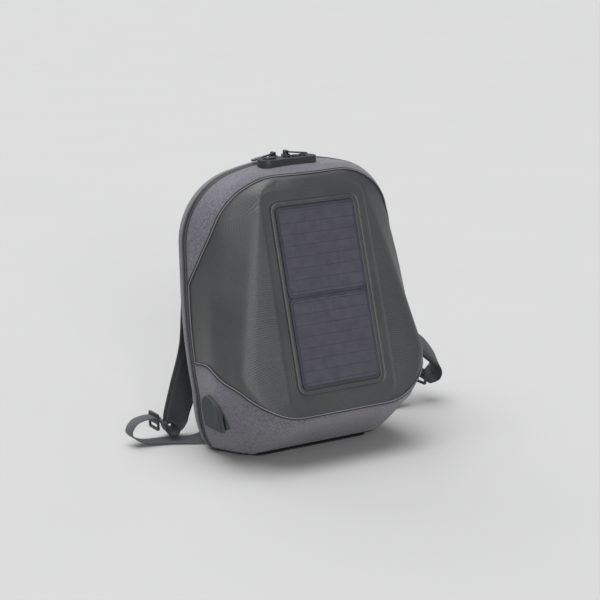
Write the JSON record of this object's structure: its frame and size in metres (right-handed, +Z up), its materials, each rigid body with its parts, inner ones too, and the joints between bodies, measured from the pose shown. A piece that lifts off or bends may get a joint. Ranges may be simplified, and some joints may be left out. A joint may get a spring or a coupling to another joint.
{
  "type": "solar backpack",
  "caption": "Clamshell commuter backpack with a moulded front shell, a stacked pair of flat solar panels, a dial lock, a side charging port and padded shoulder straps.",
  "frame": {"origin": "centre of the flat base guard under the rear half, on the surface that the bag stands on", "axes": "+Z up, +Y towards the wearer's back panel and straps, -Y out of the front face with the solar panels, +X to the right seen from the front"},
  "size_m": [0.5405, 0.2878, 0.4416],
  "materials": {
    "melange_fabric": "woven two-tone polyester",
    "dark_fabric": "plain weave nylon",
    "mesh_fabric": "spacer mesh over foam",
    "webbing": "ribbed polyester webbing",
    "zip_tape": "coated zip tape with coil teeth",
    "shell": "moulded foam with a fine embossed weave",
    "piping": "matt rubber piping",
    "laminate": "semi-gloss moulded laminate edge",
    "solar_cell": "textured clear film over blue-violet cells",
    "black_plastic": "matt moulded plastic",
    "lock_plastic": "satin moulded plastic",
    "steel": "plated steel",
    "gunmetal": "dark plated zinc",
    "circuit_board": "solder mask",
    "rubber_cover": "soft moulded rubber",
    "polyethylene": "plain sheet"
  },
  "bodies": {
    "rear_half": {"rear_body": "melange_fabric", "rear_zipper_tape": "zip_tape", "base_rear": "black_plastic", "laptop_sleeve": "dark_fabric", "back_stiffener": "polyethylene", "back_panel": "dark_fabric", "back_pad_left": "mesh_fabric", "back_pad_right": "mesh_fabric", "lumbar_pad": "mesh_fabric", "strap_yoke": "dark_fabric", "strap_wing_left": "dark_fabric", "strap_wing_right": "dark_fabric", "handle_mount": "black_plastic"},
    "front_half": {"front_body": "melange_fabric", "hard_shell": "shell", "shell_piping": "piping", "front_zipper_tape": "zip_tape", "base_front": "black_plastic", "panel_bezel": "piping", "solar_panel_upper": "laminate", "solar_panel_lower": "laminate", "solar_cells_upper": "solar_cell", "solar_cells_lower": "solar_cell", "regulator_case": "black_plastic", "regulator_board": "circuit_board", "panel_lead": "rubber_cover", "usb_housing": "black_plastic", "usb_socket": "steel", "port_lead": "rubber_cover", "organiser_pocket": "dark_fabric", "lock_plate": "steel", "lock_housing": "lock_plastic", "lock_axle": "steel"},
    "dial_1": {"lock_dial_1": "lock_plastic"},
    "dial_2": {"lock_dial_2": "lock_plastic"},
    "dial_3": {"lock_dial_3": "lock_plastic"},
    "button": {"lock_button": "lock_plastic"},
    "port_cover": {"usb_cover": "rubber_cover"},
    "zip_slider_left": {"slider_left": "gunmetal"},
    "zip_slider_right": {"slider_right": "gunmetal"},
    "zip_puller_left": {"puller_left": "gunmetal"},
    "zip_puller_right": {"puller_right": "gunmetal"},
    "handle": {"carry_handle": "webbing"},
    "strap_left": {"shoulder_strap_left": "dark_fabric", "webbing_left": "webbing"},
    "strap_right": {"shoulder_strap_right": "dark_fabric", "webbing_right": "webbing"},
    "buckle_left": {"ladder_lock_left": "black_plastic"},
    "buckle_right": {"ladder_lock_right": "black_plastic"}
  },
  "joints": [
    {"name": "front_open", "type": "hinge", "parent": "rear_half", "child": "front_half", "pos_m": [0, -0.012, 0], "axis": [1, 0, 0], "range_deg": [0, 95]},
    {"name": "dial_1_turn", "type": "hinge", "parent": "front_half", "child": "dial_1", "pos_m": [-0.012, -0.036, 0.429], "axis": [1, 0, 0], "continuous": true},
    {"name": "dial_2_turn", "type": "hinge", "parent": "front_half", "child": "dial_2", "pos_m": [0.001, -0.036, 0.429], "axis": [1, 0, 0], "continuous": true},
    {"name": "dial_3_turn", "type": "hinge", "parent": "front_half", "child": "dial_3", "pos_m": [0.014, -0.036, 0.429], "axis": [1, 0, 0], "continuous": true},
    {"name": "button_press", "type": "slide", "parent": "front_half", "child": "button", "axis": [0, 0, -1], "range_m": [0, 0.0025], "stiffness_N_per_m": 400},
    {"name": "cover_open", "type": "hinge", "parent": "front_half", "child": "port_cover", "pos_m": [-0.16875, -0.0895, 0.09542], "axis": [0.9848, 0, 0.1736], "range_deg": [-100, 0]},
    {"name": "slider_left_run", "type": "hinge", "parent": "rear_half", "child": "zip_slider_left", "pos_m": [0, -0.012, 0.065], "axis": [0, 1, 0], "range_deg": [-12, 0]},
    {"name": "slider_right_run", "type": "hinge", "parent": "rear_half", "child": "zip_slider_right", "pos_m": [0, -0.012, 0.065], "axis": [0, 1, 0], "range_deg": [0, 12]},
    {"name": "puller_left_lift", "type": "hinge", "parent": "zip_slider_left", "child": "zip_puller_left", "pos_m": [-0.02152, -0.012, 0.43848], "axis": [0, 1, 0], "range_deg": [0, 100]},
    {"name": "puller_right_lift", "type": "hinge", "parent": "zip_slider_right", "child": "zip_puller_right", "pos_m": [0, -0.012, 0.4391], "axis": [0, 1, 0], "range_deg": [-100, 0]},
    {"name": "handle_lift", "type": "hinge", "parent": "rear_half", "child": "handle", "pos_m": [0, 0.027, 0.404], "axis": [1, 0, 0], "range_deg": [0, 62]},
    {"name": "strap_left_swing", "type": "hinge", "parent": "rear_half", "child": "strap_left", "pos_m": [-0.05, 0.026, 0.366], "axis": [1, 0, 0], "range_deg": [0, 12]},
    {"name": "strap_right_swing", "type": "hinge", "parent": "rear_half", "child": "strap_right", "pos_m": [0.05, 0.026, 0.366], "axis": [1, 0, 0], "range_deg": [0, 12]},
    {"name": "buckle_left_tilt", "type": "hinge", "parent": "strap_left", "child": "buckle_left", "pos_m": [-0.19, 0.08, 0.028], "axis": [0, 1, 0], "range_deg": [0, 15]},
    {"name": "buckle_right_tilt", "type": "hinge", "parent": "strap_right", "child": "buckle_right", "pos_m": [0.263, 0.031, 0.038], "axis": [0, 1, 0], "range_deg": [0, 15]}
  ]
}
